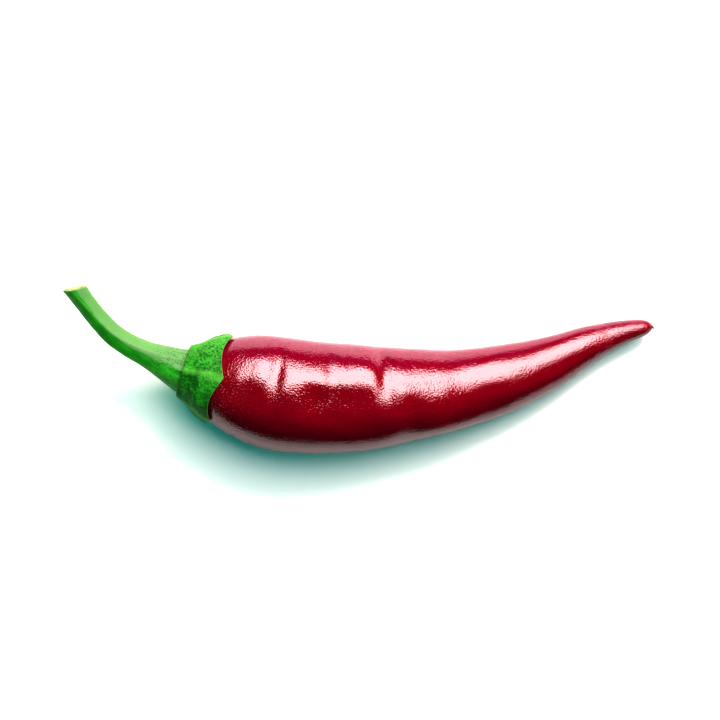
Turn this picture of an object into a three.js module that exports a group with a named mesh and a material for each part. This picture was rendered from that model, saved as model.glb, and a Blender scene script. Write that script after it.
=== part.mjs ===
// A fresh red chilli pepper with its green cap and stem, as picked, lying on its side.
//
// Millimetres, +Z up. The pod lies along X with its tip towards +X, and the stem bends away
// towards +Y. The surface it lies on is Z = 0, and the origin is under the middle of its box.
//
// Three pieces, each one closed body:
//   pod    the red fruit, with the swellings and dents of its skin and a flat spot underneath
//   calyx  the green cap, a ribbed cup with five pointed teeth, seated over the pod's shoulder
//   stem   the green stalk, flared where it meets the cap and cut off slantwise at its far end

import * as THREE from "three";

const DEGREE = Math.PI / 180;
const SEAT_GAP = 0.2; // clear space between one piece and the next

// The pod's axis, one station every STATION_STEP: x, y, height, and half the pod's width there.
// The first station is behind the cap and the last is past the tip, and both only steer the ends.
const STATION_STEP = 9.6;
const POD_STATIONS = [
  [-37.0, 0.85, 9.6, 4.0],
  [-27.87, -1.8, 9.5, 8.6],
  [-18.6, -4.25, 9.4, 11.1],
  [-9.0, -5.35, 9.45, 11.2],
  [0.6, -5.45, 9.0, 10.65],
  [10.15, -4.75, 7.8, 9.3],
  [19.7, -3.75, 6.6, 7.9],
  [29.0, -1.45, 5.75, 6.85],
  [38.1, 1.55, 4.6, 5.25],
  [46.9, 5.6, 3.9, 3.55],
  [56.0, 8.35, 3.7, 1.9],
  [65.4, 9.4, 3.9, 0.9],
];
const POD_FLATNESS = 0.86; // the pod's height as a share of its width, along most of it
const ROUND_TO_FLAT = [-7.3, 0.0]; // between these distances from the cap's rim it turns from round
const FLAT_TO_ROUND = [68.0, 89.0]; // and between these it turns round again, towards its tip
const POD_SIDES = 44;
const SHOULDER_RINGS = 7;
const BODY_RINGS = 61;
const NOSE_RINGS = 7;
const SHOULDER_START = 1.2; // from here back the pod rounds off, into the cap
const SHOULDER_LENGTH = 7.2;
const NOSE_START = 85.3; // from here on the pod rounds off to its blunt tip
const NOSE_LENGTH = 3.9;
const LOBES = 3; // the pod has three chambers, which show as a slight swelling each
const LOBE_SHARE = 0.012;
const LOBE_TURN = 35 * DEGREE;

// Swellings and dents of the skin: how far along the axis, how far round from the top towards +Y
// in degrees, half length, half width in degrees, and height, which is below zero for a dent.
// The last one is the bead that the flower left beside the tip.
const SKIN_RELIEF = [
  [5.0, 90, 4.0, 50, 0.3],
  [7.5, 60, 4.5, 38, 0.45],
  [6.5, -8, 5.0, 28, -0.6],
  [11.4, 24, 1.3, 26, -0.3],
  [16.0, 60, 5.0, 30, 0.2],
  [20.5, 23, 5.0, 12, 0.2],
  [19.0, -6, 3.2, 25, -0.8],
  [24.0, -6, 4.0, 25, -0.85],
  [29.0, -5, 4.0, 25, -0.85],
  [26.0, -34, 6.0, 24, -0.45],
  [31.6, 42, 1.9, 36, -0.45],
  [36.8, -36, 3.4, 30, -0.35],
  [43.0, -35, 5.0, 40, 0.35],
  [15.0, -75, 6.0, 30, 0.15],
  [53.0, -25, 5.0, 35, -0.35],
  [60.0, 70, 5.0, 40, -0.12],
  [68.0, 50, 5.0, 40, 0.2],
  [72.0, -50, 4.0, 45, -0.14],
  [20.0, 165, 7.0, 35, 0.18],
  [34.0, 140, 4.0, 30, -0.25],
  [48.0, 110, 5.0, 35, 0.15],
  [9.0, -140, 4.0, 30, -0.2],
  [88.4, -85, 0.5, 45, 0.5],
];

// The cap's outside: distance along the pod's axis, which is zero at the rim, and radius.
const CALYX_OUTLINE = [
  [-7.3, 5.35],
  [-5.6, 6.2],
  [-4.2, 7.2],
  [-2.8, 8.1],
  [-1.3, 8.8],
  [0.0, 9.2],
];
const CALYX_SIDES = 60;
const CALYX_OUTSIDE_RINGS = 11;
const CALYX_INSIDE_RINGS = 9;
const CALYX_WALL = 0.5; // thickness of the cap at its rim
const TOOTH_COUNT = 5;
const TOOTH_TURN = 2 * DEGREE; // the first tooth lies almost on top
const TOOTH_LENGTHS = [1.65, 1.15, 1.5, 1.3, 1.2];
const RIM_VALLEY = -0.95; // where the rim runs between two teeth
const RIB_HEIGHT = 0.3; // one rib runs up to each tooth
const CROWN_ROUND = 0.35; // half the thickness of the rounded ring round the foot of the stem
const CROWN_STEPS = 4;
const RIM_EDGE = 0.1; // the inner edge of the rim is a little further back than the outer one
const DISH_FLOOR = -7.05; // the foot of the stem stands in this shallow dish
const DISH_RADIUS = 4.35;
const DISH_SHIFT = 0.35; // the stem leaves the cap off its middle, towards -Y

// The stem's axis, one station every STEM_STEP: x, y, height and radius. The second is its foot.
// The first lies inside the cap and turns the foot square to it, and the last is past the cut.
const STEM_STEP = 4.1;
const STEM_STATIONS = [
  [-30.79, -0.96, 9.75, 5.4],
  [-34.9, -0.22, 9.55, 4.5],
  [-38.65, 1.35, 9.8, 3.45],
  [-42.4, 3.0, 10.4, 2.62],
  [-46.1, 4.95, 11.05, 2.28],
  [-49.3, 7.35, 11.85, 2.14],
  [-52.0, 10.35, 12.75, 2.05],
  [-54.35, 13.4, 13.75, 2.08],
  [-56.7, 16.7, 14.85, 2.25],
  [-59.1, 20.0, 15.95, 2.35],
];
const STEM_SIDES = 40;
const STALK_RINGS = 28;
const STALK_CROWDING = 1.25; // above 1, the rings stand closer together towards the foot
const FLAT_RINGS = 2;
const STEM_FOOT_RADIUS = 4.05;
const STEM_FOOT_BEVEL = 0.75; // the foot narrows into the dish over this length
const STEM_EDGES = 5; // the stalk is five-sided, with rounded edges
const STEM_EDGE_SHARE = 0.09; // how far an edge stands out, as a share of the radius
const STEM_EDGE_TURN = -38 * DEGREE;
const STEM_TWIST = 62 * DEGREE; // how far the edges wind round from the foot to the cut
const CUT_POINT = new THREE.Vector3(-56.4, 16.25, 14.6);
const CUT_NORMAL = new THREE.Vector3(-0.19, 0.96, 0.2).normalize();
const CUT_STEPS = 4; // steps of the search for where the cut meets the stalk's skin

const UP = new THREE.Vector3(0, 0, 1);

// A smooth line through stations: its centre, the way it runs there and its radius, each at a
// place counted in stations from the first.
function stationLine(stations) {
  const points = new THREE.CatmullRomCurve3(
    stations.map(([x, y, z]) => new THREE.Vector3(x, y, z)),
    false,
    "catmullrom",
  );
  const radii = new THREE.CatmullRomCurve3(
    stations.map((station) => new THREE.Vector3(station[3], 0, 0)),
    false,
    "catmullrom",
  );
  const last = stations.length - 1;
  return {
    centre: (place) => points.getPoint(place / last),
    ahead: (place) => points.getTangent(place / last),
    radius: (place) => radii.getPoint(place / last).x,
  };
}

// The point at a distance from the axis, at an angle round it: 0 is up and 90 degrees is +Y side.
// A flatness below 1 makes the round an oval that is lower than it is wide.
function around(centre, ahead, angle, distance, flatness = 1) {
  const side = new THREE.Vector3().crossVectors(UP, ahead).normalize();
  const lift = new THREE.Vector3().crossVectors(ahead, side);
  return centre
    .clone()
    .addScaledVector(side, distance * Math.sin(angle))
    .addScaledVector(lift, distance * flatness * Math.cos(angle));
}

// A closed skin: a sphere whose rings, from pole to pole, are moved to where place(ring, angle)
// says. The rings at the two poles are single points.
function closedSkin(sides, rings, place) {
  const geometry = new THREE.SphereGeometry(1, sides, rings);
  const position = geometry.getAttribute("position");
  for (let ring = 0; ring <= rings; ring++) {
    for (let side = 0; side <= sides; side++) {
      const angle = ((side % sides) / sides) * 2 * Math.PI;
      const { x, y, z } = place(ring, ring % rings === 0 ? 0 : angle);
      position.setXYZ(ring * (sides + 1) + side, x, y, z);
    }
  }
  geometry.deleteAttribute("uv");
  geometry.computeVertexNormals();
  return geometry;
}

// The difference between two angles, from minus half a turn to half a turn.
function angleBetween(a, b) {
  return Math.atan2(Math.sin(a - b), Math.cos(a - b));
}

// Height of a quarter of an ellipse: 1 at its start and 0 at its end.
function quarterEllipse(share) {
  return Math.sqrt(Math.max(0, 1 - share * share));
}

// 1 on an edge or rib and 0 halfway between two, with the first edge at angle zero.
function edgeShape(angle, count) {
  return 1 - Math.abs(Math.sin((angle * count) / 2));
}

// What edgeShape comes to on the whole way round.
const EDGE_MEAN = 1 - 2 / Math.PI;

const podLine = stationLine(POD_STATIONS);

// The point of the pod's axis at a distance from the cap's rim, and the way it runs there.
function podAxis(along) {
  const place = along / STATION_STEP + 1;
  return [podLine.centre(place), podLine.ahead(place)];
}

// How high the pod is there, as a share of its width.
function podFlatness(along) {
  const flat =
    THREE.MathUtils.smoothstep(along, ...ROUND_TO_FLAT) -
    THREE.MathUtils.smoothstep(along, ...FLAT_TO_ROUND);
  return 1 + (POD_FLATNESS - 1) * flat;
}

// The pod's radius at a distance from the cap's rim and an angle, or that of a skin which covers
// the pod at a clear space.
function podRadius(along, angle, clear = 0) {
  let girth = podLine.radius(along / STATION_STEP + 1) + clear;
  girth *= 1 + LOBE_SHARE * Math.cos(LOBES * (angle - LOBE_TURN));
  for (const [at, turn, halfLength, halfWidth, height] of SKIN_RELIEF) {
    const lengthways = (along - at) / halfLength;
    const roundways = angleBetween(angle, turn * DEGREE) / (halfWidth * DEGREE);
    girth += height * Math.exp(-(lengthways ** 2 + roundways ** 2));
  }
  if (along < SHOULDER_START) {
    girth *= quarterEllipse((SHOULDER_START - along) / (SHOULDER_LENGTH + clear));
  }
  if (along > NOSE_START) girth *= quarterEllipse((along - NOSE_START) / NOSE_LENGTH);
  return girth;
}

// How far along the pod a ring is. Rings stand closer together towards both ends.
function podRingPlace(ring) {
  const quarter = Math.PI / 2;
  if (ring < SHOULDER_RINGS) {
    return SHOULDER_START - SHOULDER_LENGTH * Math.cos((quarter * ring) / SHOULDER_RINGS);
  }
  const body = Math.min(1, (ring - SHOULDER_RINGS) / BODY_RINGS);
  const nose = Math.max(0, ring - SHOULDER_RINGS - BODY_RINGS) / NOSE_RINGS;
  const bodyEnd = SHOULDER_START + (NOSE_START - SHOULDER_START) * body;
  return bodyEnd + NOSE_LENGTH * Math.sin(quarter * nose);
}

// What would reach below the surface that the pod lies on is pressed flat, which gives the flat
// spot that it rests on.
function podGeometry() {
  const rings = SHOULDER_RINGS + BODY_RINGS + NOSE_RINGS;
  return closedSkin(POD_SIDES, rings, (ring, angle) => {
    const along = podRingPlace(ring);
    const radius = ring % rings === 0 ? 0 : podRadius(along, angle);
    const point = around(...podAxis(along), angle, radius, podFlatness(along));
    point.z = Math.max(0, point.z);
    return point;
  });
}

function toothAngle(angle) {
  return angle - TOOTH_TURN;
}

// How far along the pod's axis the rim of the cap runs at an angle: pointed at each tooth, and
// hollowed between two.
function rimPlace(angle) {
  const turns = toothAngle(angle) / (2 * Math.PI);
  const nearest = Math.round(turns * TOOTH_COUNT + TOOTH_COUNT) % TOOTH_COUNT;
  return (
    RIM_VALLEY +
    TOOTH_LENGTHS[nearest] * edgeShape(toothAngle(angle), TOOTH_COUNT)
  );
}

const [CROWN_EDGE, CROWN_OUTSIDE] = CALYX_OUTLINE[0];
const calyxCurve = new THREE.SplineCurve(
  CALYX_OUTLINE.map(([along, radius]) => new THREE.Vector2(along, radius)),
);

// The cap's outside at a share of the way from crown to rim. Past the outline's end a tooth
// lies along the pod, and everywhere the wall keeps its thickness.
function calyxWall(share, angle) {
  const { x, y } = calyxCurve.getPoint(share);
  const stretch = (rimPlace(angle) - CROWN_EDGE) / -CROWN_EDGE;
  const along = CROWN_EDGE + (x - CROWN_EDGE) * stretch;
  const ridge = edgeShape(toothAngle(angle), TOOTH_COUNT) ** 2;
  const rib = RIB_HEIGHT * ridge * (1 - share / 2);
  const seated = podRadius(along, angle, SEAT_GAP + CALYX_WALL);
  return [along, Math.max(y + rib, seated)];
}

// The ring round the foot of the stem, rounded on top: places along the axis and radii.
function crownRings() {
  return Array.from({ length: CROWN_STEPS }, (_, step) => {
    const turn = (Math.PI * step) / CROWN_STEPS;
    const along = CROWN_EDGE - CROWN_ROUND * Math.sin(turn);
    return [along, CROWN_OUTSIDE - CROWN_ROUND * (1 + Math.cos(turn))];
  });
}

// The cap's rings: the dish for the stem, the crown, the outside, the rim, and the inside, which
// follows the pod's shoulder.
function calyxGeometry() {
  const dish = [[DISH_FLOOR, 0], [DISH_FLOOR, DISH_RADIUS], ...crownRings()];
  const deepest = SHOULDER_START - SHOULDER_LENGTH - SEAT_GAP;
  const rings = dish.length + CALYX_OUTSIDE_RINGS + CALYX_INSIDE_RINGS;
  return closedSkin(CALYX_SIDES, rings, (ring, angle) => {
    if (ring < dish.length) return shiftedRing(...dish[ring], angle, 1);
    if (ring === rings) return shiftedRing(deepest, 0, 0, 0);
    const outside = (ring - dish.length) / CALYX_OUTSIDE_RINGS;
    if (outside <= 1) {
      return shiftedRing(...calyxWall(outside, angle), angle, (1 - outside) ** 2);
    }
    const inside = (ring - dish.length - CALYX_OUTSIDE_RINGS) / CALYX_INSIDE_RINGS;
    const rim = rimPlace(angle) - RIM_EDGE;
    const along = rim + (deepest - rim) * Math.sin((inside * Math.PI) / 2);
    return shiftedRing(along, podRadius(along, angle, SEAT_GAP), angle, 0);
  });
}

// A point of the cap. Its crown is moved off the pod's axis, to meet the stem.
function shiftedRing(along, radius, angle, shiftShare) {
  const [centre, ahead] = podAxis(along);
  const side = new THREE.Vector3().crossVectors(UP, ahead).normalize();
  centre.addScaledVector(side, -DISH_SHIFT * shiftShare);
  return around(centre, ahead, angle, radius, podFlatness(along));
}

const stemLine = stationLine(STEM_STATIONS);
const stemSteps = STEM_STATIONS.length - 3;

// A point of the stalk's skin, at a place counted in stations from its foot.
function stalkPoint(place, angle) {
  const wind = STEM_EDGE_TURN + (STEM_TWIST * place) / stemSteps;
  const edge = edgeShape(angle - wind, STEM_EDGES) - EDGE_MEAN;
  const footLength = (place * STEM_STEP) / STEM_FOOT_BEVEL;
  const foot = footLength < 1 ? quarterEllipse(1 - footLength) : 1;
  const flare = stemLine.radius(place + 1) * (1 + STEM_EDGE_SHARE * edge);
  const radius = STEM_FOOT_RADIUS + (flare - STEM_FOOT_RADIUS) * foot;
  return around(stemLine.centre(place + 1), stemLine.ahead(place + 1), angle, radius);
}

// How far along the stalk the slanting cut is, at an angle.
function cutPlace(angle) {
  let place = stemSteps;
  for (let step = 0; step < CUT_STEPS; step++) {
    const missing = CUT_POINT.clone().sub(stalkPoint(place, angle));
    const pace = stemLine.ahead(place + 1).dot(CUT_NORMAL) * STEM_STEP;
    place += missing.dot(CUT_NORMAL) / pace;
  }
  return place;
}

// The stem's rings: the flat of the foot, the stalk, and the flat of the cut.
function stemGeometry() {
  const cutRim = Array.from({ length: STEM_SIDES }, (_, side) => {
    const angle = (side / STEM_SIDES) * 2 * Math.PI;
    return stalkPoint(cutPlace(angle), angle);
  });
  const cutCentre = cutRim
    .reduce((sum, point) => sum.add(point), new THREE.Vector3())
    .divideScalar(STEM_SIDES);
  return closedSkin(STEM_SIDES, STALK_RINGS + 2 * FLAT_RINGS, (ring, angle) => {
    if (ring < FLAT_RINGS) {
      return stemLine.centre(1).lerp(stalkPoint(0, angle), ring / FLAT_RINGS);
    }
    const share = Math.min(1, (ring - FLAT_RINGS) / STALK_RINGS);
    const point = stalkPoint(cutPlace(angle) * share ** STALK_CROWDING, angle);
    const past = Math.max(0, ring - FLAT_RINGS - STALK_RINGS) / FLAT_RINGS;
    return point.lerp(cutCentre, past);
  });
}

// One named piece of the chilli, with a plain material of its own.
function piece(name, geometry, color, roughness) {
  const material = new THREE.MeshStandardMaterial({
    color,
    roughness,
    metalness: 0,
  });
  const mesh = new THREE.Mesh(geometry, material);
  mesh.name = name;
  return mesh;
}

const chilli = new THREE.Group();
chilli.add(piece("pod", podGeometry(), 0x9c0620, 0.25));
chilli.add(piece("calyx", calyxGeometry(), 0x2f8a22, 0.6));
chilli.add(piece("stem", stemGeometry(), 0x63ab3c, 0.55));

export default chilli;
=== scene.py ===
# %% [markdown]
# # A fresh red chilli pepper
# Three pieces grew together here: a glossy red pod, a green cap called the calyx, and a stem.
# Their measured solids are loaded first, and everything that is modelled below has to lie where
# they lie. The solids are right in size but coarse, so each one gets a finer piece in its place.

# %% The measured solids
import math

import bmesh
import bpy
from mathutils import Matrix, Vector, noise


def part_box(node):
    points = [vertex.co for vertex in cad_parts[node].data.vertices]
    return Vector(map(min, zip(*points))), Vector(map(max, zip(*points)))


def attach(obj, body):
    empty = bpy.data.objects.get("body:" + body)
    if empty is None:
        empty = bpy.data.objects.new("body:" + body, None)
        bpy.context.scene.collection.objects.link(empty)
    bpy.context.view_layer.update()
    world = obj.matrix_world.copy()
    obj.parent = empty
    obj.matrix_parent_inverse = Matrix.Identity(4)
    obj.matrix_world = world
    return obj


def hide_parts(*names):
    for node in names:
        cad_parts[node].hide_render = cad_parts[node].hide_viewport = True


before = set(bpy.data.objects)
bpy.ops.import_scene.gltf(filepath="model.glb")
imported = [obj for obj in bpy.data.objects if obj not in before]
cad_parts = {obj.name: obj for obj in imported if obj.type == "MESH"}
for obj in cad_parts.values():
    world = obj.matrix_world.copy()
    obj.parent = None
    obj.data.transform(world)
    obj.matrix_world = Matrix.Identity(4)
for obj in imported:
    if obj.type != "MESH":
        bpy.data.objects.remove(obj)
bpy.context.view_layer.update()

MM = 0.001
for node in sorted(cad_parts):
    low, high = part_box(node)
    print(node, "measures", [round(side / MM, 1) for side in high - low], "mm")

# %% [markdown]
# The photograph looks straight down on the chilli. A camera that isn't turned at all looks down
# the Z axis with +Y at the top of the picture, so it only has to be placed. A long lens from
# further off keeps the near parts of the chilli from looking bigger than the far ones.

# %% The camera
PICTURE_WIDTH = 144 * MM
PICTURE_CENTRE = (0.0, 2 * MM)
PICTURE_HEIGHT = 7 * MM  # the level at which the picture is that wide
LENS = 200.0
SENSOR = 36.0

camera_data = bpy.data.cameras.new("camera")
camera_data.lens = LENS
camera_data.sensor_width = SENSOR
camera = bpy.data.objects.new("camera", camera_data)
camera.location = (*PICTURE_CENTRE, PICTURE_HEIGHT + PICTURE_WIDTH * LENS / SENSOR)
bpy.context.scene.collection.objects.link(camera)
bpy.context.scene.camera = camera
print("the camera is", round(camera.location.z, 3), "m up")

# %% [markdown]
# The light comes from one side, +Y, through something wide like a window, so the shadow falls
# towards -Y. Two lamps light what is matt: a wide one makes the shadow soft, and a small one gives
# it a core. The third only shows in the gloss, because a soft box looks much brighter in a waxy
# skin than the light that it spreads. Its straight edges, mirrored in a dented skin, break the
# shine into patches. It stands nearer than the others, because a lamp in front of it would hide
# it from the gloss.

# %% The lamps
LAMP_COLOUR = (1, 0.73, 0.73)
MIRRORED_COLOUR = (1, 1, 1)


def softbox(name, watts, tilt, turn, size, distance, mirrored=False):
    """A lamp that is either mirrored in a gloss or lights what is matt, and never in the picture."""
    data = bpy.data.lights.new(name, "AREA")
    data.shape = "RECTANGLE"
    data.size, data.size_y = size
    data.energy = watts
    data.color = MIRRORED_COLOUR if mirrored else LAMP_COLOUR
    lamp = bpy.data.objects.new(name, data)
    to_the_side = Matrix.Rotation(math.radians(-tilt), 3, "X")
    way = Matrix.Rotation(math.radians(-turn), 3, "Z") @ to_the_side
    lamp.location = way @ Vector((0, 0, distance))
    lamp.rotation_euler = way.to_euler()
    lamp.visible_camera = False
    lamp.visible_glossy = mirrored
    lamp.visible_diffuse = not mirrored
    bpy.context.scene.collection.objects.link(lamp)
    print(name, "is", round(lamp.location.z, 2), "m up")


softbox("softbox", watts=30.0, tilt=37, turn=26, size=(1.27, 1.375), distance=1.1)
softbox("lamp", watts=14.0, tilt=45, turn=26, size=(0.35, 0.35), distance=1.2)
softbox("softbox_mirrored", watts=28.0, tilt=27.5, turn=13, size=(1.2, 1.0), distance=1.0,
        mirrored=True)

# %% [markdown]
# The shadow in the photograph is blue-green, while the table in full light is white. So the room's
# light is blue-green and the lamps are a little red: together they make white, and the shadow
# gets the room's light alone. The room isn't mirrored, so the skin shows the lamp and the table
# alone, and past the table the camera sees a plain pale grey. The view's gamma is below 1, which
# makes the middle tones deeper and the colours stronger.

# %% The light of the room
ROOM_LIGHT = (0.05, 0.5, 0.45)
ROOM_SEEN = (0.85, 0.9, 0.9)
VIEW_GAMMA = 0.65

world = bpy.data.worlds.new("room")
world.use_nodes = True
bpy.context.scene.world = world
world.cycles_visibility.glossy = False
room = world.node_tree
lit = room.nodes["Background"]
lit.inputs["Color"].default_value = (*ROOM_LIGHT, 1)
seen = room.nodes.new("ShaderNodeBackground")
seen.inputs["Color"].default_value = (*ROOM_SEEN, 1)
path = room.nodes.new("ShaderNodeLightPath")
either = room.nodes.new("ShaderNodeMixShader")
room.links.new(path.outputs["Is Camera Ray"], either.inputs["Fac"])
room.links.new(lit.outputs[0], either.inputs[1])
room.links.new(seen.outputs[0], either.inputs[2])
room.links.new(either.outputs[0], room.nodes["World Output"].inputs["Surface"])
bpy.context.scene.view_settings.view_transform = "Standard"
bpy.context.scene.view_settings.gamma = VIEW_GAMMA
print("the room's light is", ROOM_LIGHT, "and the view's gamma", VIEW_GAMMA)

# %% [markdown]
# A shader is a chain of small nodes, and a chain with arithmetic in it is hard to follow. So one
# small class wraps a node's output: adding or multiplying two of them puts in the Math node that
# does it.

# %% Arithmetic on shader sockets
class Wire:
    """The output of a node. Arithmetic on it adds Math nodes."""

    def __init__(self, finish, socket):
        self.finish = finish
        self.socket = socket

    def maths(self, operation, *values):
        return self.finish.node("ShaderNodeMath", {"operation": operation}, dict(enumerate(values)))

    def __add__(self, other):
        return self.maths("ADD", self, other)

    def __sub__(self, other):
        return self.maths("SUBTRACT", self, other)

    def __rsub__(self, other):
        return self.maths("SUBTRACT", other, self)

    def __mul__(self, other):
        return self.maths("MULTIPLY", self, other)

    __radd__ = __add__
    __rmul__ = __mul__


print("a wire can be added, subtracted and multiplied")

# %% [markdown]
# A finish is a material on one principled shader. Its class makes every other kind of node by the
# one method `node`, and gives the few kinds that a vegetable needs short names: noise, a smooth
# step, a blend of two colours, coats of colour one over the other, and a bump.

# %% Materials and their nodes
class Finish:
    """A material on one principled shader, whose plain values are given by name."""

    def __init__(self, name, **plain):
        self.material = bpy.data.materials.new(name)
        self.material.use_nodes = True
        self.tree = self.material.node_tree
        self.shader = self.tree.nodes["Principled BSDF"]
        for socket, value in plain.items():
            self.shader.inputs[socket.replace("_", " ")].default_value = value

    def node(self, kind, settings=None, inputs=None, output=0):
        """A node of a kind, with its settings made first and its sockets given values or wires."""
        made = self.tree.nodes.new(kind)
        for setting, value in (settings or {}).items():
            setattr(made, setting, value)
        for socket, value in (inputs or {}).items():
            if isinstance(value, Wire):
                self.tree.links.new(value.socket, made.inputs[socket])
            else:
                made.inputs[socket].default_value = value
        return Wire(self, made.outputs[output])

    def place(self):
        """Where a point of the piece is, in metres."""
        return self.node("ShaderNodeTexCoord", output="Object")

    def attribute(self, name, output="Fac"):
        """A value that the mesh carries at each of its points."""
        return self.node("ShaderNodeAttribute", {"attribute_name": name}, output=output)

    def part(self, vector, axis):
        """One of the three numbers of a vector."""
        return self.node("ShaderNodeSeparateXYZ", inputs={0: vector}, output=axis)

    def scaled(self, vector, across):
        """A vector with each of its numbers multiplied, to stretch a pattern."""
        settings = {"operation": "MULTIPLY"}
        return self.node("ShaderNodeVectorMath", settings, {0: vector, 1: across})

    def grain(self, vector, size, detail=2.0, roughness=0.5):
        """Soft noise from 0 to 1, with lumps of about that size."""
        inputs = {"Vector": vector, "Scale": 1 / size, "Detail": detail, "Roughness": roughness}
        return self.node("ShaderNodeTexNoise", inputs=inputs)

    def between(self, value, start, end):
        """A smooth step from 0 to 1 while the value goes from start to end, up or down."""
        inputs = {0: value, 1: start, 2: end}
        return self.node("ShaderNodeMapRange", {"interpolation_type": "SMOOTHSTEP"}, inputs)

    def blend(self, share, first, second):
        """A colour from first to second as share goes from 0 to 1."""
        colours = [c if isinstance(c, Wire) else (*c, 1) for c in (first, second)]
        inputs = {0: share, 6: colours[0], 7: colours[1]}
        return self.node("ShaderNodeMix", {"data_type": "RGBA"}, inputs, output=2)

    def coated(self, colour, *coats):
        """A colour with coats over it, each given as how much of it shows and its colour."""
        for share, coat in coats:
            colour = self.blend(share, colour, coat)
        return colour

    def bump(self, height, distance, under=None):
        """A normal from a height in units of distance, laid over another one."""
        inputs = {"Height": height, "Distance": distance}
        if under is not None:
            inputs["Normal"] = under
        return self.node("ShaderNodeBump", inputs=inputs)

    def give(self, **wires):
        """Links wires to the shader's own sockets."""
        for socket, wire in wires.items():
            self.tree.links.new(wire.socket, self.shader.inputs[socket.replace("_", " ")])


print("a finish has", [name for name in vars(Finish) if not name.startswith("_")])

# %% [markdown] The chilli lies on a plain white table. One large square is enough, and it is
# matt with a very fine grain.

# %% The table
TABLE_SIZE = 4.0
TABLE_WHITE = (0.92, 0.92, 0.92, 1)

table_bm = bmesh.new()
bmesh.ops.create_grid(table_bm, x_segments=1, y_segments=1, size=TABLE_SIZE / 2)
table_mesh = bpy.data.meshes.new("table")
table_bm.to_mesh(table_mesh)
table_bm.free()
table = bpy.data.objects.new("table", table_mesh)
bpy.context.scene.collection.objects.link(table)

matt = Finish("table_white", Base_Color=TABLE_WHITE, Roughness=0.6)
matt.give(Normal=matt.bump(matt.grain(matt.place(), 2 * MM), 0.02 * MM))
table_mesh.materials.append(matt.material)
print("the table is", TABLE_SIZE, "m wide")

# %% [markdown]
# All three pieces follow a bent line, and each of them is thick here and thin there. A few
# stations say where the line goes and how thick the piece is, and a smooth curve runs through
# them. Each station holds four numbers, so one curve gives the place and the thickness together.

# %% A smooth line through stations
UP = Vector((0, 0, 1))


def on_line(stations, place):
    """Centre, heading and radius at a place counted in stations, all in millimetres."""
    last = len(stations) - 1
    first = min(max(math.floor(place), 0), last - 1)
    share = place - first
    here, there = Vector(stations[first]), Vector(stations[first + 1])
    before = Vector(stations[first - 1]) if first > 0 else 2 * here - there
    after = Vector(stations[first + 2]) if first + 2 <= last else 2 * there - here
    leave, arrive = (there - before) / 2, (after - here) / 2
    square, cube = share**2, share**3
    value = (
        here * (2 * cube - 3 * square + 1)
        + leave * (cube - 2 * square + share)
        + there * (3 * square - 2 * cube)
        + arrive * (cube - square)
    )
    slope = (
        (there - here) * (6 * share - 6 * square)
        + leave * (3 * square - 4 * share + 1)
        + arrive * (3 * square - 2 * share)
    )
    return value.to_3d(), slope.to_3d().normalized(), value[3]


def around(centre, ahead, angle, distance, flatness=1.0):
    """A point round a line: angle 0 is above it, and a quarter turn is to its left."""
    side = UP.cross(ahead).normalized()
    lift = ahead.cross(side)
    return centre + side * distance * math.sin(angle) + lift * distance * flatness * math.cos(angle)


for heading in (Vector((1, 0, 0)), Vector((-1, 0, 0))):
    left = around(Vector(), heading, math.pi / 2, 1.0)
    print("left of a line that heads", heading[:], "is", [round(number) for number in left])

# %% [markdown]
# Grown things have few hard corners, so most of their forms come from a handful of soft curves: a
# step, a hill, the rounding of an end, edges round a stalk, lumps, and folds that wander a little.
# The lumps come from noise, which is the same in every run.

# %% Soft curves, lumps and folds
FOLD_WANDER = 2.0
FOLD_WANDER_SIZE = 3.0
FOLD_SEED = 9


def smooth_step(value, low, high):
    """From 0 at the low value to 1 at the high one, with no corner at either."""
    share = min(max((value - low) / (high - low), 0.0), 1.0)
    return share * share * (3 - 2 * share)


def hill(distance, half_width):
    """1 at no distance, about a third at half the width, and nearly 0 from twice that on."""
    return math.exp(-((distance / half_width) ** 2))


def quarter_ellipse(share):
    """Height of a quarter of an ellipse: 1 at its start and 0 at its end."""
    return math.sqrt(max(0.0, 1 - share * share))


def edge_shape(angle, count):
    """1 on an edge and 0 halfway between two, with the first edge at angle zero."""
    return 1 - abs(math.sin(angle * count / 2))


def unevenness(point, size, seed):
    """Soft lumps from about -1 to 1, the same in every run. point and size are millimetres."""
    return noise.noise(point / size + Vector((seed, 0, 0)))


def lumpy(point, out, lumps, share=1.0):
    """A point moved in or out by lumps of several sizes, each given as its size and height."""
    for seed, (size, height) in enumerate(lumps):
        point = point + out * height * share * unevenness(point, size, seed)
    return point


def folded(point, angle, count):
    """1 on the ridge of a fold and -1 between two, with folds that wander a little."""
    wander = FOLD_WANDER * unevenness(point, FOLD_WANDER_SIZE, FOLD_SEED)
    return math.cos(count * angle + wander)


print("a hill is", round(hill(1.0, 1.0), 2), "of its height at half its width")

# %% [markdown] Every piece ends the same way. Its bmesh, which was worked on in millimetres, is
# brought to metres, its faces are turned outwards and shaded smooth, and a subdivision makes it
# finer.

# %% A mesh object in place of a solid
SUBDIVISIONS = 1


def finished_piece(name, bm, node, finish):
    """Makes a mesh object from a bmesh in millimetres, in place of a measured solid."""
    bmesh.ops.scale(bm, vec=(MM, MM, MM), verts=bm.verts)
    bmesh.ops.recalc_face_normals(bm, faces=bm.faces)
    for face in bm.faces:
        face.smooth = True
    mesh = bpy.data.meshes.new(name)
    bm.to_mesh(mesh)
    bm.free()
    mesh.materials.append(finish.material)
    piece = bpy.data.objects.new(name, mesh)
    bpy.context.scene.collection.objects.link(piece)
    finer = piece.modifiers.new("finer", "SUBSURF")
    finer.levels = finer.render_levels = SUBDIVISIONS
    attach(piece, "root")
    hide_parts(node)
    print(name, "has", len(mesh.polygons), "faces before it is made finer")


print("every piece is made", 4**SUBDIVISIONS, "times as fine")

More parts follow.
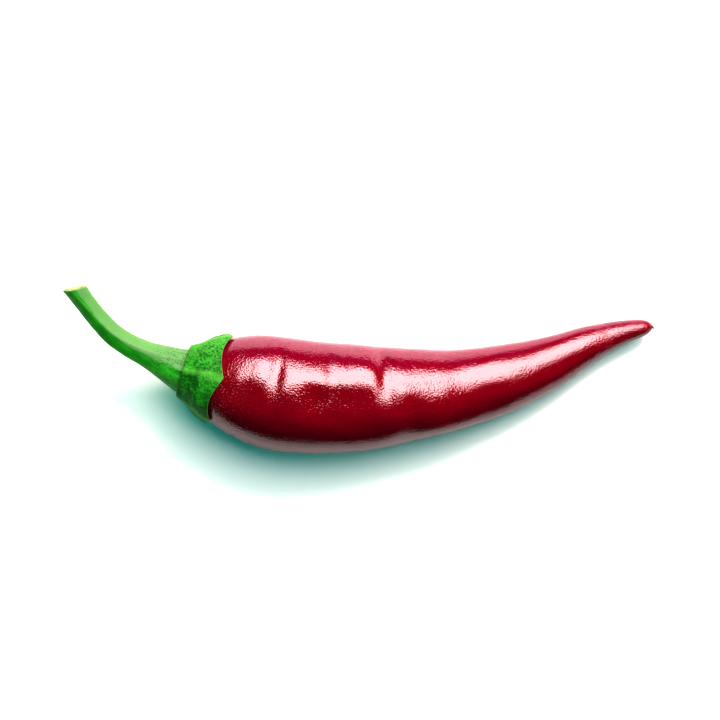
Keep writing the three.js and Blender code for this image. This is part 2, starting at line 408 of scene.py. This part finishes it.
# %% [markdown]
# The pod is a bent tube that swells and tapers, lower than it is wide, closed at both ends. Its
# line runs from inside the cap to past its tip, and every place on it is given as the distance
# from the cap's rim. Under the cap the pod rounds off, and at its tip it ends blunt. The three
# chambers inside show as slight swellings.

# %% The form of the pod
STATION_STEP = 9.6
POD_STATIONS = [
    # x, y, height and radius, in millimetres
    (-37.0, 0.85, 9.6, 4.0),
    (-27.87, -1.8, 9.5, 8.6),
    (-18.6, -4.25, 9.4, 11.1),
    (-9.0, -5.35, 9.45, 11.2),
    (0.6, -5.45, 9.0, 10.65),
    (10.15, -4.75, 7.8, 9.3),
    (19.7, -3.75, 6.6, 7.9),
    (29.0, -1.45, 5.75, 6.85),
    (38.1, 1.55, 4.6, 5.25),
    (46.9, 5.6, 3.9, 3.55),
    (56.0, 8.35, 3.7, 1.9),
    (65.4, 9.4, 3.9, 0.9),
]
POD_FLATNESS = 0.86  # its height as a share of its width
ROUND_TO_FLAT = (-7.3, 0.0)  # between these places it turns from round to flat
FLAT_TO_ROUND = (68.0, 89.0)  # and between these it turns round again
SHOULDER_START = 1.2
SHOULDER_LENGTH = 7.2
NOSE_START = 85.3
NOSE_LENGTH = 3.9
NOSE_BLUNTNESS = 1.6  # above 1, the nose stays thick for longer
LOBES = 3
LOBE_SHARE = 0.012
LOBE_TURN = math.radians(35)


def pod_axis(along):
    """Centre, heading and radius at a distance in millimetres from the cap's rim."""
    return on_line(POD_STATIONS, along / STATION_STEP + 1)


def pod_flatness(along):
    """Height as a share of the width."""
    flat = smooth_step(along, *ROUND_TO_FLAT) - smooth_step(along, *FLAT_TO_ROUND)
    return 1 + (POD_FLATNESS - 1) * flat


print("the pod is", round(NOSE_START + NOSE_LENGTH), "mm long from the cap's rim to its tip")

# %% [markdown]
# A real pod is never smooth. Its skin swells over the seeds and sinks between them, and a few
# sharp creases run across it. Those are what breaks its shine into patches. Each is one soft hill
# or hollow, given by where it is, how long and wide it is, and how high.

# %% The swellings and dents of the pod
SKIN_RELIEF = [
    # along, degrees from the top towards +Y, half length, half width in degrees, height
    (4.0, 90, 4.0, 50, 0.3),
    (3.6, 0, 1.9, 42, 0.24),
    (7.5, 60, 4.5, 38, 0.45),
    (6.5, -8, 5.0, 28, -0.6),
    (7.0, 20, 2.6, 30, 0.32),
    (11.2, 18, 1.7, 34, -0.66),
    (16.0, 60, 5.0, 30, 0.2),
    (19.5, 17, 3.6, 10, 0.36),
    (22.3, 28, 1.5, 20, -0.46),
    (19.0, -4, 3.2, 22, -0.7),
    (24.0, -2, 4.0, 21, -0.74),
    (28.6, -2, 3.6, 21, -0.68),
    (22.0, -24, 4.0, 26, -0.35),
    (27.5, -28, 4.5, 28, -0.55),
    (27.0, -42, 6.0, 24, -0.3),
    (25.4, 33, 0.8, 14, -0.18),
    (32.6, 30, 1.7, 40, -0.85),
    (33.9, 42, 0.6, 36, 0.12),
    (34.5, -36, 2.6, 24, 0.3),
    (37.5, -36, 3.4, 30, -0.35),
    (43.0, -35, 5.0, 40, 0.35),
    (44.0, -58, 9.0, 20, 0.35),
    (15.0, -75, 6.0, 30, 0.15),
    (53.0, -25, 5.0, 35, -0.35),
    (60.0, 70, 5.0, 40, -0.12),
    (68.0, 50, 5.0, 40, 0.2),
    (79.6, 20, 1.0, 60, -0.22),
    (72.0, -50, 4.0, 45, -0.14),
    (20.0, 165, 7.0, 35, 0.18),
    (34.0, 140, 4.0, 30, -0.25),
    (48.0, 110, 5.0, 35, 0.15),
    (9.0, -140, 4.0, 30, -0.2),
]


def pod_radius(along, angle, clear=0.0):
    """The pod's radius, or that of a skin that covers it with a clear space between."""
    girth = pod_axis(along)[2] + clear
    girth *= 1 + LOBE_SHARE * math.cos(LOBES * (angle - LOBE_TURN))
    for at, turn, half_length, half_width, height in SKIN_RELIEF:
        round_off = math.remainder(angle - math.radians(turn), math.tau)
        girth += height * hill(along - at, half_length) * hill(round_off, math.radians(half_width))
    if along < SHOULDER_START:
        girth *= quarter_ellipse((SHOULDER_START - along) / (SHOULDER_LENGTH + clear))
    if along > NOSE_START:
        girth *= quarter_ellipse(((along - NOSE_START) / NOSE_LENGTH) ** NOSE_BLUNTNESS)
    return girth


print("the deepest of", len(SKIN_RELIEF), "is", min(height for *_, height in SKIN_RELIEF), "mm")

# %% [markdown]
# The pod could be extruded ring by ring, but a UV sphere has the rings already and is closed at
# its poles, so each ring of a sphere is carried to its place along the pod. Beside the blunt tip
# hangs a dry brown scrap, which is what is left of the flower. The last rings of the sphere make
# it: they shrink to a thread that bends aside.

# %% Where the rings of the sphere go
SHOULDER_RINGS = 14
BODY_RINGS = 166
NOSE_RINGS = 12
SCRAP_RINGS = 8
POD_RINGS = SHOULDER_RINGS + BODY_RINGS + NOSE_RINGS + SCRAP_RINGS
NOSE_SHARE = 0.97  # the rings of the nose stop just short of its end
SCRAP_RADIUS = 0.42
SCRAP_TAPER = 0.35
SCRAP_LENGTH = 0.5
SCRAP_BEND = 1.0
WAVES = [(4.5, 0.06), (1.8, 0.028)]  # size and height of the slight waves all over the skin


def pod_ring(ring):
    """How far along a ring lies, and how far it is into the scrap."""
    quarter = math.pi / 2
    if ring < SHOULDER_RINGS:
        return SHOULDER_START - SHOULDER_LENGTH * math.cos(quarter * ring / SHOULDER_RINGS), 0.0
    ring -= SHOULDER_RINGS
    if ring < BODY_RINGS:
        return SHOULDER_START + (NOSE_START - SHOULDER_START) * ring / BODY_RINGS, 0.0
    nose = min(1.0, (ring - BODY_RINGS) / NOSE_RINGS)
    scrap = max(0.0, (ring - BODY_RINGS - NOSE_RINGS) / SCRAP_RINGS)
    return NOSE_START + NOSE_LENGTH * NOSE_SHARE * math.sin(quarter * nose), scrap


def pod_point(ring, angle):
    """Where a point of the sphere's ring goes. What would be below the table is pressed flat."""
    along, scrap = pod_ring(ring)
    centre, ahead, _ = pod_axis(along)
    radius = 0.0 if ring in (0, POD_RINGS) else pod_radius(along, angle)
    if scrap > 0:
        centre = centre + ahead * SCRAP_LENGTH * scrap + UP.cross(ahead) * -SCRAP_BEND * scrap**2
        radius = SCRAP_RADIUS * (1 - SCRAP_TAPER * scrap) * quarter_ellipse(scrap**3)
    point = around(centre, ahead, angle, radius, pod_flatness(along))
    out = (point - centre).normalized() if radius else Vector()
    point = lumpy(point, out, WAVES)
    point.z = max(point.z, 0.0)
    return point


print("the pod has", POD_RINGS, "rings")

# %% [markdown]
# The finish of the pod isn't the same all over, and a pattern in space can't know the tip from the
# shoulder. So each point of the mesh also remembers four numbers: how much it belongs to the
# scrap, to the shoulder near the cap and to the tip, and how far round it lies, from -1 on the
# shaded side to 1 on the side of the light.

# %% The pod from a sphere
POD_SIDES = 112
# The shoulder's pale specks are painted glints.
SHOULDER_REACH = (0.0, 8.0)  # the shoulder's specks fade between these places
TIP_REACH = (72.0, 80.0)  # and the wrinkles of the tip grow between these
DRY_REACH = (NOSE_START + 3.3, NOSE_START + 4.4)  # and here the skin turns dry
SCRAP_DRYNESS = 2.0  # how much further along the end of the scrap counts as

pod_bm = bmesh.new()
bmesh.ops.create_uvsphere(pod_bm, u_segments=POD_SIDES, v_segments=POD_RINGS, radius=1.0)
layers = {name: pod_bm.verts.layers.float.new(name) for name in ("scrap", "shoulder", "side", "tip")}
for vert in pod_bm.verts:
    ring = round(POD_RINGS * math.acos(max(-1.0, min(1.0, vert.co.z))) / math.pi)
    angle = math.atan2(vert.co.y, vert.co.x)
    along, scrap = pod_ring(ring)
    vert[layers["scrap"]] = smooth_step(along + SCRAP_DRYNESS * scrap, *DRY_REACH)
    vert[layers["shoulder"]] = 1 - smooth_step(along, *SHOULDER_REACH)
    vert[layers["side"]] = math.sin(angle)
    vert[layers["tip"]] = smooth_step(along, *TIP_REACH)
    vert.co = pod_point(ring, angle)
print("its rings have", POD_SIDES, "points each")

# %% [markdown]
# The pod's skin is crimson under a clear waxy gloss. Painted shade makes it darker on its shaded
# side, a painted sheen makes it a cooler red on the side of the light, and the pale specks near the
# cap are painted glints. Up close it has very fine wrinkles, which fray the edges of every
# reflection and are deeper at the tip. Wrinkles that small would need millions of faces, so a bump
# makes them, while every dent above is real.

# %% The finish of the pod
CRIMSON = (0.27, 0.0004, 0.02)
DEEP_CRIMSON = (0.18, 0.0002, 0.01)
BRIGHT_CRIMSON = (0.31, 0.0008, 0.026)
# painted shade for the side away from the light
PAINTED_SHADE_CRIMSON = (0.05, 0.0001, 0.004)
# painted sheen for the side of the light
PAINTED_SHEEN_CRIMSON = (0.2, 0.0008, 0.042)
# painted glints near the cap
PAINTED_GLINT_PINK = (0.7, 0.3, 0.22)
DRY_BROWN = (0.09, 0.06, 0.035)
WRINKLE_SIZE = 0.36 * MM
WRINKLE_DEPTH = 0.064 * MM
TIP_WRINKLES = 1.2  # how much deeper they are at the tip

skin = Finish("pod_skin", Roughness=0.08, IOR=2.0)
where = skin.place()
side = skin.attribute("side")
patches = skin.grain(where, 9 * MM, 3)
streaks = skin.grain(skin.scaled(where, (0.25, 1, 1)), 2.2 * MM, 4)
specks = skin.grain(where, 0.3 * MM, 2)
# painted shade: a darker crimson on the side away from the light
painted_shade = skin.between(side + (patches - 0.5) * 0.4, -0.35, -0.85)
# painted sheen: a cooler, bluer red on the side of the light
painted_sheen = skin.between(side + (streaks - 0.5) * 0.5, 0.3, 0.8)
below_the_top = skin.between(side, 0.4, -0.2)
# painted glints: pale specks near the cap, away from the top
painted_glints = skin.between(specks, 0.62, 0.7) * skin.attribute("shoulder") * below_the_top
skin.give(Base_Color=skin.coated(
    skin.blend(patches, CRIMSON, DEEP_CRIMSON),
    (skin.between(streaks, 0.4, 0.75) * 0.35, BRIGHT_CRIMSON),
    (painted_shade * 0.6, PAINTED_SHADE_CRIMSON),
    (painted_sheen * 0.85, PAINTED_SHEEN_CRIMSON),
    (painted_glints, PAINTED_GLINT_PINK),
    (skin.attribute("scrap"), DRY_BROWN),
))
wrinkles = skin.grain(where, WRINKLE_SIZE, 1)
skin.give(Normal=skin.bump(wrinkles * (1 + skin.attribute("tip") * TIP_WRINKLES), WRINKLE_DEPTH))

finished_piece("pod_fine", pod_bm, "pod", skin)

# %% [markdown]
# The cap is a shallow cup that grips the pod's shoulder. Its rim runs out into five teeth, and a
# rib leads down to each of them. Below, its outside follows an outline, but never comes closer to
# the pod than its own thickness and a small gap, so the pod's dents show through it.

# %% The form of the cap
SEAT_GAP = 0.2
CALYX_OUTLINE = [(-7.3, 5.35), (-5.6, 6.2), (-4.2, 7.2), (-2.8, 8.1), (-1.3, 8.8), (0.0, 9.2)]
CALYX_WALL = 0.5
CALYX_RIM_WALL = 0.32  # the rim is thinner than the rest
TOOTH_COUNT = 5
TOOTH_TURN = math.radians(2)
TOOTH_LENGTHS = [1.65, 1.15, 1.5, 1.3, 1.2]
RIM_VALLEY = -0.95
RIB_HEIGHT = 0.3
CROWN_EDGE, CROWN_OUTSIDE = CALYX_OUTLINE[0]


def calyx_outline(share):
    """Place along and radius of the cap's outside, from its crown to its rim."""
    stations = [(along, radius, 0.0, 0.0) for along, radius in CALYX_OUTLINE]
    point, _, _ = on_line(stations, share * (len(stations) - 1))
    return point.x, point.y


def rim_place(angle):
    """How far along the rim runs at an angle: pointed at a tooth, and hollowed between two."""
    turns = (angle - TOOTH_TURN) / math.tau
    length = TOOTH_LENGTHS[round(turns * TOOTH_COUNT) % TOOTH_COUNT]
    return RIM_VALLEY + length * edge_shape(angle - TOOTH_TURN, TOOTH_COUNT)


def rib(angle):
    """1 on the ridge of a rib and 0 between two."""
    return edge_shape(angle - TOOTH_TURN, TOOTH_COUNT) ** 2


def calyx_wall(share, angle):
    """Place along and radius of the outside at a share of the way from the crown to the rim."""
    outline_along, radius = calyx_outline(share)
    stretch = (rim_place(angle) - CROWN_EDGE) / -CROWN_EDGE
    along = CROWN_EDGE + (outline_along - CROWN_EDGE) * stretch
    wall = CALYX_WALL + (CALYX_RIM_WALL - CALYX_WALL) * share**4
    seated = pod_radius(along, angle, SEAT_GAP + wall)
    return along, max(radius + RIB_HEIGHT * rib(angle) * (1 - share / 2), seated)


print("the first tooth ends at", round(rim_place(TOOTH_TURN), 2), "mm along the pod")

# %% [markdown]
# A turned shape like a cup is spun from its profile. This one goes from the middle of the dish
# that the stem stands in, over the rounded crown, down the outside, round the rim and back up the
# inside. The leathery surface gets small lumps, and near the crown a few folds where the stem's
# flesh runs into it.

# %% Where the rings of the cap go
DISH_RINGS = 6
CROWN_RINGS = 6
OUTSIDE_RINGS = 34
RIM_RINGS = 3
INSIDE_RINGS = 10
CALYX_RINGS = DISH_RINGS + CROWN_RINGS + OUTSIDE_RINGS + RIM_RINGS + INSIDE_RINGS
CROWN_ROUND = 0.35
RIM_EDGE = 0.1  # the inner edge of the rim lies a little further back
DISH_FLOOR = -7.05
DISH_RADIUS = 4.35
DISH_SHIFT = 0.35  # the stem leaves the cap off its middle, towards -Y
CALYX_LUMPS = [(3.1, 0.16), (1.3, 0.12), (0.6, 0.045)]
CROWN_FOLDS = 11
CROWN_FOLD_DEPTH = 0.1
CROWN_FOLD_REACH = 1.2


def calyx_ring(ring, angle):
    """Where a ring is: along, radius, its share of the dish's shift, and 1 on the outside."""
    if ring <= DISH_RINGS:
        return DISH_FLOOR, DISH_RADIUS * ring / DISH_RINGS, 1.0, 0.0
    ring -= DISH_RINGS
    if ring <= CROWN_RINGS:
        turn = math.pi * ring / (CROWN_RINGS + 1)
        along = CROWN_EDGE - CROWN_ROUND * math.sin(turn)
        return along, CROWN_OUTSIDE - CROWN_ROUND * (1 + math.cos(turn)), 1.0, 0.5
    ring -= CROWN_RINGS
    if ring <= OUTSIDE_RINGS:
        share = (ring - 1) / (OUTSIDE_RINGS - 1)
        along, radius = calyx_wall(share, angle)
        return along, radius, (1 - share) ** 2, 1 - share**6
    ring -= OUTSIDE_RINGS
    if ring <= RIM_RINGS:
        turn = math.pi * ring / (RIM_RINGS + 1)
        along, radius = calyx_wall(1.0, angle)
        half_wall = CALYX_RIM_WALL / 2
        radius -= half_wall * (1 - math.cos(turn))
        return along + half_wall * math.sin(turn), radius, 0.0, 0.0
    inside = (ring - RIM_RINGS) / INSIDE_RINGS
    deepest = SHOULDER_START - SHOULDER_LENGTH - SEAT_GAP
    rim = rim_place(angle) - RIM_EDGE
    along = rim + (deepest - rim) * math.sin(inside * math.pi / 2)
    return along, 0.0 if inside == 1 else pod_radius(along, angle, SEAT_GAP), 0.0, 0.0


def calyx_point(ring, angle):
    """Where a point of a ring goes, with the lumps and folds of the outside."""
    along, radius, shift, outside = calyx_ring(ring, angle)
    centre, ahead, _ = pod_axis(along)
    centre -= UP.cross(ahead).normalized() * DISH_SHIFT * shift
    point = around(centre, ahead, angle, radius, pod_flatness(along))
    if outside > 0:
        out = (point - centre).normalized()
        point = lumpy(point, out, CALYX_LUMPS, outside)
        near_crown = hill(along - CROWN_EDGE, CROWN_FOLD_REACH)
        folds = folded(point, angle, CROWN_FOLDS)
        point += out * CROWN_FOLD_DEPTH * folds * near_crown * outside
    return point


print("the cap has", CALYX_RINGS, "rings")

# %% [markdown]
# The profile is first one column of points a millimetre apart, led round the Z axis. After the
# spin every point's height tells its ring, and the rings are carried onto the pod's bent axis.
# Each point remembers how far it is on a rib and on the rim, and the `vein` layer remembers its
# direction round the axis and the way from crown to rim, so that a pattern can follow the cap.

# %% The cap from a spun profile
CALYX_SIDES = 140
SAME_POINT = 0.001
RIM_RING = DISH_RINGS + CROWN_RINGS + OUTSIDE_RINGS + RIM_RINGS / 2
RIM_LINE_RINGS = 2.2  # half the width of the dry line along the rim, in rings

calyx_bm = bmesh.new()
column = [calyx_bm.verts.new((0.0 if ring in (0, CALYX_RINGS) else 1.0, 0.0, float(ring)))
          for ring in range(CALYX_RINGS + 1)]
edges = [calyx_bm.edges.new(pair) for pair in zip(column, column[1:])]
bmesh.ops.spin(calyx_bm, geom=column + edges, cent=(0, 0, 0), axis=(0, 0, 1), dvec=(0, 0, 0),
               angle=math.tau, steps=CALYX_SIDES, use_merge=True)
bmesh.ops.remove_doubles(calyx_bm, verts=calyx_bm.verts, dist=SAME_POINT)
rib_layer = calyx_bm.verts.layers.float.new("rib")
rim_layer = calyx_bm.verts.layers.float.new("rim")
vein_layer = calyx_bm.verts.layers.float_vector.new("vein")
for vert in calyx_bm.verts:
    ring, angle = round(vert.co.z), math.atan2(vert.co.y, vert.co.x)
    share = min(1.0, max(0.0, (ring - DISH_RINGS - CROWN_RINGS) / OUTSIDE_RINGS))
    vert[rib_layer] = rib(angle)
    vert[rim_layer] = hill(ring - RIM_RING, RIM_LINE_RINGS)
    vert[vein_layer] = (math.sin(angle), math.cos(angle), share)
    vert.co = calyx_point(ring, angle)
print("its rings have", CALYX_SIDES, "points each")

# %% [markdown]
# The cap is leathery and full of small pits, a little glossy, lighter along its ribs, and it dries
# to a thin straw-coloured line along its rim. Painted shade makes its shaded side a bluish green,
# painted light makes the other one paler, and painted highlights lie on the tops of the pits. The
# veins run from the crown to the teeth, so their pattern is noise that is drawn on the `vein` layer
# and stretched along it.

# %% The finish of the cap
DEEP_GREEN = (0.003, 0.13, 0.006)
LEAF_GREEN = (0.035, 0.34, 0.02)
# painted shade and painted light for the cap's two sides
PAINTED_SHADE_GREEN = (0.004, 0.12, 0.04)
PAINTED_LIGHT_GREEN = (0.1, 0.38, 0.065)
VEIN_GREEN = (0.1, 0.36, 0.045)
PIT_GREEN = (0.004, 0.07, 0.006)
RIB_GREEN = (0.16, 0.45, 0.09)
# painted highlights on the tops of the pits
PAINTED_HIGHLIGHT_GREEN = (0.1, 0.46, 0.07)
STRAW = (0.3, 0.2, 0.09)

leather = Finish("calyx_skin", Roughness=0.45, IOR=1.26)
where = leather.place()
veins_at = leather.attribute("vein", "Vector")
mottle = leather.grain(where, 2.2 * MM, 4)
pits = leather.grain(where, 0.45 * MM, 3, 0.6)
veins = leather.grain(leather.scaled(veins_at, (9, 9, 2.5)), 1.0, 3, 0.6)
# which side a point is on decides where painted shade and painted light go
side = leather.part(veins_at, "X") + mottle * 0.4
ribbed = leather.between(leather.attribute("rib") * (0.6 + mottle), 0.35, 0.9)
leather.give(Base_Color=leather.coated(
    leather.blend(leather.between(mottle, 0.3, 0.7), DEEP_GREEN, LEAF_GREEN),
    # painted shade on the shaded side, painted light on the other
    (leather.between(side, -0.3, -0.8) * 0.7, PAINTED_SHADE_GREEN),
    (leather.between(side, 0.3, 0.9) * 0.6, PAINTED_LIGHT_GREEN),
    (leather.between(veins, 0.5, 0.8) * 0.5, VEIN_GREEN),
    (leather.between(pits, 0.5, 0.36) * 0.8, PIT_GREEN),
    (ribbed * 0.5, RIB_GREEN),
    # painted highlights on the tops of the pits
    (leather.between(pits, 0.56, 0.68) * 0.6, PAINTED_HIGHLIGHT_GREEN),
    (leather.between(leather.attribute("rim"), 0.6, 0.95), STRAW),
))
normal = leather.bump(veins, 0.1 * MM)
leather.give(Normal=leather.bump(pits, 0.12 * MM, under=normal))

finished_piece("calyx_fine", calyx_bm, "calyx", leather)

# %% [markdown]
# The stem rises out of the dish, bends to one side and thickens again towards its cut. It is
# flared at its foot and five-sided, with rounded edges that wind a little. It heads the other way
# from the pod, towards -X, so its left is the -Y side.

# %% The form of the stem
STEM_STEP = 4.1
STEM_STATIONS = [
    # x, y, height and radius, in millimetres
    (-30.79, -0.96, 9.75, 5.4),
    (-34.9, -0.22, 9.55, 4.5),
    (-38.65, 1.35, 9.8, 3.45),
    (-42.4, 3.0, 10.4, 2.62),
    (-46.1, 4.95, 11.05, 2.28),
    (-49.3, 7.35, 11.85, 2.14),
    (-52.0, 10.35, 12.75, 2.05),
    (-54.35, 13.4, 13.75, 2.08),
    (-56.7, 16.7, 14.85, 2.25),
    (-59.1, 20.0, 15.95, 2.35),
]
STEM_STEPS = len(STEM_STATIONS) - 3  # from the foot, which is the second, to the last but one
STEM_FOOT_RADIUS = 4.05
STEM_FOOT_BEVEL = 0.75
STEM_EDGES = 5
STEM_EDGE_SHARE = 0.09
EDGE_MEAN = 1 - 2 / math.pi
STEM_EDGE_TURN = math.radians(-38)
STEM_TWIST = math.radians(62)
STEM_LUMPS = [(4.0, 0.09), (0.9, 0.03)]
FOOT_FOLDS = 13
FOOT_FOLD_DEPTH = 0.1
FOOT_FOLD_REACH = 0.6  # in stations


def stem_edge(place, angle):
    """1 on an edge of the stem and 0 between two, at a place counted in stations."""
    wind = STEM_EDGE_TURN + STEM_TWIST * place / STEM_STEPS
    return edge_shape(angle - wind, STEM_EDGES)


def stalk_point(place, angle):
    """A point of the stem's skin, at a place counted in stations from its foot."""
    centre, ahead, flare = on_line(STEM_STATIONS, place + 1)
    flare *= 1 + STEM_EDGE_SHARE * (stem_edge(place, angle) - EDGE_MEAN)
    foot_share = place * STEM_STEP / STEM_FOOT_BEVEL
    foot = quarter_ellipse(1 - foot_share) if foot_share < 1 else 1.0
    radius = STEM_FOOT_RADIUS + (flare - STEM_FOOT_RADIUS) * foot
    point = around(centre, ahead, angle, radius)
    out = (point - centre).normalized()
    point = lumpy(point, out, STEM_LUMPS, foot)
    folds = folded(point, angle, FOOT_FOLDS) * hill(place, FOOT_FOLD_REACH)
    return point + out * FOOT_FOLD_DEPTH * folds * foot


print("the stem is about", round(STEM_STEPS * STEM_STEP), "mm long")

# %% [markdown]
# A circle is extruded ring after ring, and the rings are carried along the stem's line. It runs
# on past its end, because the knife's slanting cut is a plane: bisect cuts there, and the two open
# ends are filled. The two faces with the most corners are then the foot and the cut.

# %% The stem from a circle, and its cut
STEM_SIDES = 100
STEM_RINGS = 110
STEM_PAST = 7.9  # the last ring, in stations from the foot, which is past the cut
STEM_CROWDING = 1.15  # above 1, the rings stand closer together towards the foot
CUT_POINT = Vector((-56.4, 16.25, 14.6))
CUT_NORMAL = Vector((-0.19, 0.96, 0.2)).normalized()
CUT_SNAP = 0.02  # a point that is this close to the plane is taken to lie on it

stem_bm = bmesh.new()
bmesh.ops.create_circle(stem_bm, cap_ends=False, radius=1.0, segments=STEM_SIDES)
ring_edges = stem_bm.edges[:]
for ring in range(STEM_RINGS):
    grown = bmesh.ops.extrude_edge_only(stem_bm, edges=ring_edges)["geom"]
    points = [part for part in grown if isinstance(part, bmesh.types.BMVert)]
    bmesh.ops.translate(stem_bm, vec=UP, verts=points)
    ring_edges = [part for part in grown if isinstance(part, bmesh.types.BMEdge)]
vein_layer = stem_bm.verts.layers.float_vector.new("vein")
edge_layer = stem_bm.verts.layers.float.new("edge")
for vert in stem_bm.verts:
    angle = math.atan2(vert.co.y, vert.co.x)
    place = STEM_PAST * (round(vert.co.z) / STEM_RINGS) ** STEM_CROWDING
    vert[vein_layer] = (math.sin(angle), math.cos(angle), place)
    vert[edge_layer] = stem_edge(place, angle)
    vert.co = stalk_point(place, angle)
bmesh.ops.bisect_plane(stem_bm, geom=stem_bm.verts[:] + stem_bm.edges[:] + stem_bm.faces[:],
                       plane_co=CUT_POINT, plane_no=CUT_NORMAL, clear_outer=True, dist=CUT_SNAP)
open_edges = [edge for edge in stem_bm.edges if edge.is_boundary]
bmesh.ops.holes_fill(stem_bm, edges=open_edges, sides=0)
ends = [face for face in stem_bm.faces if len(face.verts) > STEM_SIDES / 2]
cut_face = min(ends, key=lambda end: (end.calc_center_median() - CUT_POINT).length)
print("the cut is", round(cut_face.calc_area(), 1), "square millimetres")

# %% [markdown]
# The knife left a pale face with a rim of green skin round it and softer pith in the middle. Each
# inset of the cut makes one more ring in it, and the inner ones sink a little. The subdivision
# that follows shades badly across a face with many corners, so those get a point in their middle.

# %% The cut face
CUT_INSETS = [(0.06, 0.0), (0.2, 0.0), (0.45, -0.04), (0.3, -0.1), (0.2, -0.03)]
QUAD_CORNERS = 4

cut_layer = stem_bm.verts.layers.float.new("cut")
for number, (thickness, depth) in enumerate(CUT_INSETS):
    bmesh.ops.inset_region(stem_bm, faces=[cut_face], thickness=thickness, depth=depth,
                           use_even_offset=False)
    for vert in cut_face.verts:
        vert[cut_layer] = (number + 1) / len(CUT_INSETS)
many_cornered = [face for face in stem_bm.faces if len(face.verts) > QUAD_CORNERS]
for face in many_cornered:
    bmesh.ops.poke(stem_bm, faces=[face])
print("the cut has", len(CUT_INSETS), "rings")

# %% [markdown]
# The stem's skin is smoother than the cap's and full of fine lengthwise lines, which are noise
# stretched along the stem on a layer that follows it. It is pale on its edges, and a painted sheen
# lies along the side of the light. Its foot is speckled like the cap.

# %% The finish of the stem
STEM_GREEN = (0.01, 0.25, 0.008)
FRESH_GREEN = (0.03, 0.36, 0.012)
LINE_GREEN = (0.12, 0.42, 0.06)
EDGE_GREEN = (0.2, 0.5, 0.1)
SPECK_GREEN = (0.01, 0.12, 0.005)
# painted sheen
PAINTED_SHEEN_GREEN = (0.15, 0.31, 0.12)
FOOT_SPECK_GREEN = (0.01, 0.14, 0.01)
CUT_GREEN = (0.3, 0.42, 0.16)
PITH = (0.42, 0.48, 0.26)

stalk = Finish("stem_skin", Roughness=0.45, IOR=1.36)
where = stalk.place()
veins_at = stalk.attribute("vein", "Vector")
lines = stalk.grain(stalk.scaled(veins_at, (10, 10, 1.2)), 1.0, 4, 0.6)
specks = stalk.grain(where, 0.35 * MM, 3, 0.6)
mottle = stalk.grain(where, 3 * MM, 3)
left = stalk.part(veins_at, "X")
top = stalk.part(veins_at, "Y")
foot = stalk.between(stalk.part(veins_at, "Z"), 2.4, 0.8)
# painted sheen along the side of the light
painted_stem_sheen = stalk.between(top * 0.35 - left * 0.85 + (lines - 0.5) * 0.7, 0.27, 0.39)
cut = stalk.attribute("cut")
stalk.give(Base_Color=stalk.coated(
    stalk.blend(stalk.between(mottle, 0.3, 0.7), STEM_GREEN, FRESH_GREEN),
    (stalk.between(lines, 0.45, 0.75) * 0.4, LINE_GREEN),
    (stalk.between(stalk.attribute("edge"), 0.4, 0.95) * 0.25, EDGE_GREEN),
    (stalk.between(specks, 0.5, 0.3) * 0.35, SPECK_GREEN),
    (painted_stem_sheen * 0.9, PAINTED_SHEEN_GREEN),
    (stalk.between(specks, 0.52, 0.38) * foot * 0.5, FOOT_SPECK_GREEN),
    (stalk.between(cut, 0.05, 0.3), CUT_GREEN),
    (stalk.between(cut, 0.55, 0.8), PITH),
))
normal = stalk.bump(lines, 0.06 * MM)
stalk.give(Normal=stalk.bump(specks, 0.05 * MM, under=normal))

finished_piece("stem_fine", stem_bm, "stem", stalk)

# %% [markdown] The three pieces now stand in place of the measured solids.
